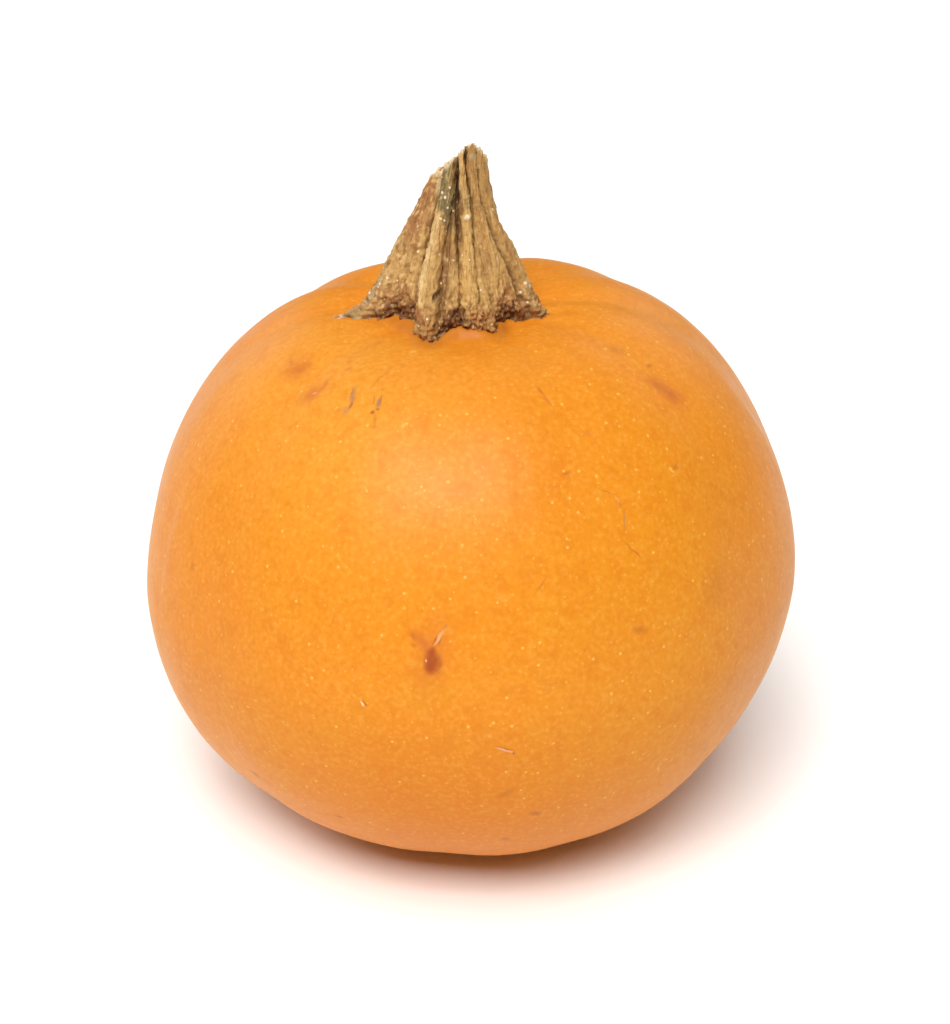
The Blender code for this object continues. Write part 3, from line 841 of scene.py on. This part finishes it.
# Lines of colour along the stem: azimuths and shares at the five levels, half width, colour
STREAKS = (
    ((246, 237, 239, 243, 240), (0.2, 0.8, 0.95, 0.4, 0), 4.5, RIB_PALE),
    ((238, 238, 239, 240, 238), (0, 0.45, 0.75, 0.2, 0), 2.6, RIM_CREAM),
    ((283, 285, 286, 283, 268), (0.3, 0.75, 0.75, 0.4, 0.5), 6, RIB_YELLOW),
    ((272, 271, 268, 264, 260), (0.4, 0.4, 0.1, 0, 0), 5, RIB_TAN),
    ((331, 325, 315, 307, 297), (0.3, 0.6, 0.3, 0.1, 0.2), 7, RIB_TAN),
    ((256, 261, 262, 260, 256), (0, 0.3, 0.7, 0.6, 0), 6, FOLD_BROWN),
    ((253, 249, 250, 252, 250), (0.2, 0.55, 0.6, 0.4, 0), 5, RIB_BROWN),
    # The next two wide brown streaks, on the stem's right side, are in part painted shade of that
    # side
    ((322, 318, 312, 303, 292), (0, 0.2, 0.6, 0.95, 0.9), 16, RIB_BROWN),
    ((348, 346, 340, 332, 322), (0.1, 0.45, 0.75, 0.85, 0.7), 14, RIB_BROWN),
    ((60, 57, 54, 51, 48), (0.3, 0.6, 0.5, 0.4, 0.5), 7, RIB_PALE),
    ((20, 18, 14, 8, 2), (0.2, 0.4, 0.6, 0.6, 0.5), 9, RIB_BROWN),
    ((102, 99, 96, 93, 90), (0.2, 0.3, 0.5, 0.6, 0.6), 10, RIB_BROWN),
    ((140, 137, 134, 131, 128), (0.3, 0.5, 0.6, 0.4, 0.3), 7, RIB_PALE),
)
# Patches of colour with ragged edges: (azimuth, level, half width in degrees, half height, share)
FLUSHED = (
    (194, 0.68, 24, 0.22, 0.95), (206, 0.52, 10, 0.14, 0.65), (196, 0.36, 24, 0.12, 0.3),
    (120, 0.6, 22, 0.22, 0.6),
)
TOED = ((249, 0.07, 18, 0.13, 0.90), (303, 0.05, 15, 0.10, 0.85), (345, 0.07, 14, 0.12, 1.00))
RUSSETED = (
    (190, 0.15, 22, 0.09, 0.7), (208, 0.13, 18, 0.08, 0.75), (232, 0.12, 12, 0.08, 0.7),
    (257, 0.07, 7, 0.07, 0.6), (298, 0.11, 12, 0.05, 0.45), (326, 0.15, 12, 0.06, 0.65),
    (90, 0.12, 30, 0.09, 0.7), (130, 0.14, 20, 0.08, 0.7), (40, 0.11, 24, 0.08, 0.7),
)
HEELS = (
    (204, 0.04, 18, 0.08, 1), (222, 0.05, 11, 0.075, 0.95), (272, 0.06, 13, 0.09, 1),
    (283, 0.03, 12, 0.06, 0.7), (258, 0.02, 9, 0.035, 0.8), (325, 0.04, 14, 0.075, 1),
    (338, 0.03, 8, 0.06, 0.8), (24, 0.03, 26, 0.07, 0.95), (88, 0.03, 20, 0.07, 0.95),
    (125, 0.03, 18, 0.07, 0.9), (160, 0.03, 12, 0.06, 0.9),
)
MOULDY = (
    (240, 0.87, 17, 0.095, 1), (248, 0.79, 15, 0.1, 1), (256, 0.72, 12, 0.085, 1),
    (263, 0.66, 8, 0.07, 0.8), (283, 0.72, 7, 0.07, 0.45), (347, 0.16, 7, 0.07, 0.5),
    (70, 0.8, 20, 0.09, 0.7),
)
ASHEN = (
    (216, 0.84, 4, 0.05, 0.9), (224, 0.77, 4, 0.055, 0.95), (227, 0.7, 4, 0.06, 0.85),
    (228, 0.62, 3, 0.05, 0.6), (319, 0.37, 3, 0.018, 0.5), (311, 0.325, 3, 0.012, 0.45),
    (300, 0.99, 10, 0.03, 0.7), (186, 0.23, 5, 0.024, 0.9), (184, 0.14, 4, 0.03, 0.8),
    (349, 0.22, 4, 0.03, 0.6), (150, 0.45, 8, 0.05, 0.7),
)
PATCHES = (
    (FLUSHED, FLUSH_BROWN), (TOED, TOE_BROWN), (RUSSETED, RUSSET), (HEELS, HEEL_BROWN),
    (MOULDY, MOULD_OLIVE),
)


def laid_on(under, over, share):
    """Colour over, laid on the colours under by that share, point by point."""
    return under + (np.array(over) - under) * np.clip(share, 0, 1)[..., None]


def patched(azimuth, level, patches):
    """The most of the patches there: each is an ellipse that fades over its outer half."""
    most = np.zeros(azimuth.shape)
    for at, middle, width, height, share in patches:
        away = np.hypot(turn_between(azimuth, at) / width, (level - middle) / height)
        most = np.maximum(most, share * (1 - eased(away, 0.60, 1.20)))
    return most


def stem_colours(azimuth, level, inset, below_rim, rough):
    """Colour of each point of the stem, from its ribs, folds, streaks, patches and scales."""
    broad, blot = lumps(rough, 2.0 * MM, 41), lumps(rough * (1, 1, 0.5), 0.7 * MM, 42)
    fine = lumps(rough * (1, 1, 0.6), 0.35 * MM, 43)
    crest = rib_crest(azimuth, level) + 0.10 * blot + 0.08 * fine
    colour = laid_on(np.array(FOLD_BROWN), RIB_TAN, eased(crest, 0.05, 0.75))
    colour = laid_on(colour, RIB_PALE, 0.45 * eased(crest, 0.80, 1.15))
    for line, shares, width, tint in STREAKS:
        colour = laid_on(colour, tint, along_line(azimuth + 1.5 * blot, level, line, shares, width))
    near_azimuth = azimuth + 3.0 * broad + 2.5 * blot
    near_level = level + 0.012 * broad + 0.016 * blot + 0.006 * fine
    for patches, tint in PATCHES:
        colour = laid_on(colour, tint, patched(near_azimuth, near_level, patches))
    # The deep folds are painted brown and nearly black: their darker bark, and painted shade in
    # them
    folded = crevice(azimuth + 0.8 * blot, level)
    colour = laid_on(colour, FOLD_BROWN, 0.9 * eased(folded, 0.15, 0.55))
    colour = laid_on(colour, SHADE_AND_BARK_DARK, eased(folded, 0.40, 0.95))
    scales = bark_scales(azimuth, level, rough) * eased(0.6 * broad + fine, -0.7, 0.7)
    curled = laid_on(colour, RIB_PALE, 0.85)
    curled = laid_on(curled, CRUST_PINK, 1 - eased(level, 0.10, 0.20))
    heel = 1 - 0.45 * patched(near_azimuth, near_level, HEELS)
    colour = colour + (curled - colour) * (scales * heel)[..., None]
    pitted = eased(-blot - 0.5 * fine, 0.75, 1.35) * (0.25 + 0.5 * scaly(azimuth, level))
    colour = laid_on(colour, FOLD_BROWN, pitted)
    for at, _ in SPURS:
        thorn = bell(turn_between(azimuth, at), 6) * (1 - eased(level, 0.03, 0.09))
        colour = laid_on(colour, SPUR_GREY, 0.9 * thorn)
        beyond = np.hypot(rough[..., 0], rough[..., 1])
        bleached = eased(beyond, *SPUR_BLEACHED)
        colour = laid_on(colour, SPUR_PALE, 0.95 * thorn * bleached)
    colour = laid_on(colour, ASH_GREY, patched(near_azimuth, near_level, ASHEN))
    # The small hole is painted nearly black: painted shade in it
    pit = bell(turn_between(azimuth, PIT[0]), 2.5) * bell(level - PIT[1], 0.025)
    colour = laid_on(colour, SHADE_AND_BARK_DARK, pit)
    frayed = below_rim + 0.25 * MM * blot + 0.15 * MM * fine
    pale_end = 0.6 + 0.6 * bell(turn_between(azimuth, 236), 34)
    colour = laid_on(colour, TORN_PALE, 0.9 * (1 - eased(frayed, 0.3 * MM, pale_end * MM)))
    broken = laid_on(np.array(FLUSH_BROWN), TORN_PALE, eased(fine + 0.6 * blot, -0.6, 0.5))
    torn = np.where(level > 0.5, 1 - eased(inset, 0.90, 1.0), 0)
    colour = colour + (broken - colour) * torn[..., None]
    under = (inset < 1) & (level < 0.5)
    return np.clip(np.where(under[..., None], HEEL_BROWN, colour), 0.01, 0.9)


# White specks of dried sap: (azimuth, level, size mm)
SAP_SPECKS = (
    (250, 0.83, 0.6), (239, 0.79, 0.58), (247, 0.775, 0.58), (285, 0.64, 0.95),
    (252, 0.73, 0.45), (258, 0.71, 0.45), (262, 0.69, 0.42), (269, 0.7, 0.42),
    (270, 0.67, 0.42), (245, 0.66, 0.42), (250.5, 0.66, 0.42), (230, 0.86, 0.42),
    (339.5, 0.6, 0.65), (352, 0.735, 0.62), (335, 0.87, 0.45), (333, 0.66, 0.45),
    (344, 0.233, 0.7), (347, 0.205, 0.75), (341, 0.19, 0.5), (343, 0.125, 0.5),
    (335, 0.215, 0.5), (300, 0.25, 0.45), (186, 0.22, 0.6), (182, 0.15, 0.65),
    (190, 0.26, 0.45), (214, 0.42, 0.45), (203, 0.55, 0.42), (234, 0.33, 0.55),
    (236, 0.29, 0.6), (256, 0.3, 0.42), (240, 0.055, 0.6), (236, 0.1, 0.55),
    (252, 0.02, 0.55), (257, 0.08, 0.5), (250, 0.14, 0.5), (297, 0.03, 0.55),
    (304, 0.06, 0.5), (60, 0.55, 0.6), (98, 0.7, 0.65), (135, 0.35, 0.65),
    (25, 0.3, 0.6),
)
WHITE_SAP, THREAD_BROWN, THREAD_PALE = (*SPECK_WHITE, 1), (*FOLD_BROWN, 1), (*RIB_PALE, 1)
DASH_SIZE, GRAIN_SIZE, THREADS_ROUND = 0.55 * MM, 0.30 * MM, 18.0
DUST = (0.38 * MM, 1.0 * MM, 0.30)  # size, spacing, share of the specks that is kept
SAP_FRAY_SIZE, SAP_FRAY_REACH = 0.5 * MM, 0.35 * MM


def add_sap(tree, place, colour, places):
    """The sap specks, each a small ball that fades at its edge, laid on the stem in turn."""
    for middle, (_, _, size) in zip(places, SAP_SPECKS):
        inside = spot(tree, place, middle, (size / 2 * MM,) * 3)
        colour = layered(tree, colour, ((inside, 0.0, 0.5, 0.95, WHITE_SAP),))
    return colour


def dried_stem(speck_places):
    """Dry stalk: the colours of its points, with threads, dashes, dust and sap specks on them."""
    made = bpy.data.materials.new("dried_stem")
    made.use_nodes = True
    tree = made.node_tree
    place = add_node(tree, "TexCoord", {}).outputs["Object"]
    around = add_node(tree, "Attribute", {}, attribute_name="around").outputs["Vector"]
    colour = add_node(tree, "Attribute", {}, attribute_name="ground").outputs["Color"]

    thread = cloud(tree, around, 1 / THREADS_ROUND, 4.0)
    upright = add_node(tree, "Mapping", {"Vector": place, "Scale": (1, 1, 0.38)}).outputs[0]
    dash, fine = cloud(tree, upright, DASH_SIZE, 3.0), cloud(tree, place, GRAIN_SIZE, 3.0)
    texture = (
        (dash, 0.56, 0.70, 0.55, THREAD_PALE),
        (dash, 0.44, 0.30, 0.50, THREAD_BROWN),
        (thread, 0.46, 0.30, 0.50, THREAD_BROWN),
        (thread, 0.54, 0.70, 0.35, THREAD_PALE),
        (fine, 0.44, 0.28, 0.30, THREAD_BROWN),
    )
    colour = layered(tree, colour, texture)
    colour = laid(tree, times(tree, specks(tree, place, *DUST), 0.80), colour, WHITE_SAP)
    frayed = frayed_place(tree, place, SAP_FRAY_SIZE, 1.0, SAP_FRAY_REACH)
    colour = add_sap(tree, frayed, colour, speck_places)

    shader = tree.nodes["Principled BSDF"]
    relief = plus(tree, times(tree, thread, 0.8), times(tree, dash, 1.0))
    relief = plus(tree, relief, times(tree, fine, 0.6))
    bump = add_node(tree, "Bump", {"Strength": 0.8, "Distance": 0.30 * MM, "Height": relief})
    tree.links.new(colour, shader.inputs["Base Color"])
    tree.links.new(bump.outputs[0], shader.inputs["Normal"])
    tree.links.new(plus(tree, times(tree, fine, 0.3), 0.55), shader.inputs["Roughness"])
    shader.inputs["Specular IOR Level"].default_value = 0.30
    return made


def place_on_stem(points, azimuth, level, wanted):
    """The point of the wall that is nearest to the wanted azimuth and level."""
    column = round(wanted[0] * STEM_COLUMNS / 360) % STEM_COLUMNS
    wall = slice(UNDER_ROWS, UNDER_ROWS + WALL_ROWS + 1)
    row = np.abs(level[wall, column] - wanted[1]).argmin()
    return points[UNDER_ROWS + row, column]


stem_points, azimuth, level, inset, below_rim, rough = stem_grid()
stem_points = settled(stem_points)
stem_points[..., 2] = np.minimum(stem_points[..., 2], packed_box[1][2])
stem = closed_surface("pumpkin_stem", stem_points)
tints = stem_colours(azimuth, level, inset, below_rim, rough)
tints = np.concatenate([tints, np.ones((*azimuth.shape, 1))], axis=-1)
ground = stem.data.attributes.new("ground", "FLOAT_COLOR", "POINT")
ground.data.foreach_set("color", kept_points(tints).ravel())
lengthwise = np.radians(azimuth - STEM_TWIST * level)
grain_line = np.stack([np.cos(lengthwise), np.sin(lengthwise), 0.30 * level], axis=-1)
grain_note = stem.data.attributes.new("around", "FLOAT_VECTOR", "POINT")
grain_note.data.foreach_set("vector", kept_points(grain_line).ravel())
speck_places = [place_on_stem(stem_points, azimuth, level, sap) for sap in SAP_SPECKS]
stem.data.materials.append(dried_stem(speck_places))
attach(stem, "root")
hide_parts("stem")


# The table: a wide plain sheet, white and matt, that the pumpkin stands on. It isn't part of it.

TABLE_HALF = 3.0  # metres from its middle to an edge
TABLE_WHITE = (0.98, 0.98, 0.98, 1)


def pale_table():
    """A flat square at height 0."""
    mesh = bpy.data.meshes.new("table_top")
    corners = [(-1, -1), (1, -1), (1, 1), (-1, 1)]
    mesh.from_pydata([(x * TABLE_HALF, y * TABLE_HALF, 0) for x, y in corners], [], [(0, 1, 2, 3)])
    finish = bpy.data.materials.new("table_top")
    finish.use_nodes = True
    shader = finish.node_tree.nodes["Principled BSDF"]
    shader.inputs["Base Color"].default_value = TABLE_WHITE
    shader.inputs["Roughness"].default_value = 0.8
    mesh.materials.append(finish)
    table = bpy.data.objects.new("table_top", mesh)
    bpy.context.scene.collection.objects.link(table)
    return table


pale_table()


# The light: a dim white room, and wide soft lamps far from the pumpkin. The one in front, high up
# and a little to the left, makes the broad sheen. Weaker ones hang above and on the left, and low
# ones behind, on the left and on the right, make the sheen along both sides.

ROOM_COLOUR, ROOM_STRENGTH = (1.0, 0.99, 0.98, 1), 0.062
LAMP_COLOUR = (1.0, 0.985, 0.96)

# (name, degrees left of straight ahead, degrees up, distance, width, depth, watts)
LAMPS = (
    ("front_lamp", 11, 53, 10.0, 6.2, 3.3, 915.0),
    ("high_lamp", 0, 68, 10.0, 5.0, 3.0, 310.0),
    ("left_lamp", 50, 68, 10.0, 5.0, 5.0, 140.0),
    ("back_lamp", 180, 60, 10.0, 5.0, 5.0, 55.0),
    ("low_left_lamp", 135, 18, 10.0, 9.0, 5.0, 215.0),
    ("low_right_lamp", -145, 25, 10.0, 7.0, 6.0, 165.0),
)


def light_the_room():
    """The room's even light, and each lamp, at its distance from the pumpkin and aimed at it."""
    world = bpy.data.worlds.new("room")
    world.use_nodes = True
    sky = world.node_tree.nodes["Background"]
    sky.inputs["Color"].default_value = ROOM_COLOUR
    sky.inputs["Strength"].default_value = ROOM_STRENGTH
    bpy.context.scene.world = world
    for name, left, up, away, width, depth, watts in LAMPS:
        lamp = bpy.data.lights.new(name, "AREA")
        lamp.shape = "RECTANGLE"
        lamp.size, lamp.size_y = width, depth
        lamp.energy = watts
        lamp.color = LAMP_COLOUR
        holder = bpy.data.objects.new(name, lamp)
        left, up = math.radians(left), math.radians(up)
        flat = math.cos(up)
        towards = Vector((-flat * math.sin(left), -flat * math.cos(left), math.sin(up)))
        holder.location = Vector((0, 0, WIDEST_HEIGHT)) + towards * away
        holder.rotation_euler = (-towards).to_track_quat("-Z", "Y").to_euler()
        bpy.context.scene.collection.objects.link(holder)


light_the_room()


# The camera: held 30 cm from the pumpkin's widest level, looking down on it by 28 degrees.

VIEW_AWAY, VIEW_DOWN = 300 * MM, math.radians(28)
VIEW_LENS, FILM_LONG_SIDE = 67.9, 36.0  # mm
VIEW_SHIFT = (0.0030, 0.0406)  # shares of the long side, from how the picture is cropped


def hold_the_camera():
    """The camera, aimed at the middle of the pumpkin's widest level from the front and above."""
    lens = bpy.data.cameras.new("camera")
    lens.lens = VIEW_LENS
    lens.sensor_width = FILM_LONG_SIDE
    lens.shift_x, lens.shift_y = VIEW_SHIFT
    lens.clip_start = 0.01
    camera = bpy.data.objects.new("camera", lens)
    middle = settled(np.array([0, 0, WIDEST_HEIGHT]))
    away = Vector((0, -math.cos(VIEW_DOWN), math.sin(VIEW_DOWN))) * VIEW_AWAY
    camera.location = Vector(middle) + away
    camera.rotation_euler = (math.pi / 2 - VIEW_DOWN, 0, 0)
    bpy.context.scene.collection.objects.link(camera)
    bpy.context.scene.camera = camera
    bpy.context.scene.view_settings.view_transform = "Standard"


hold_the_camera()
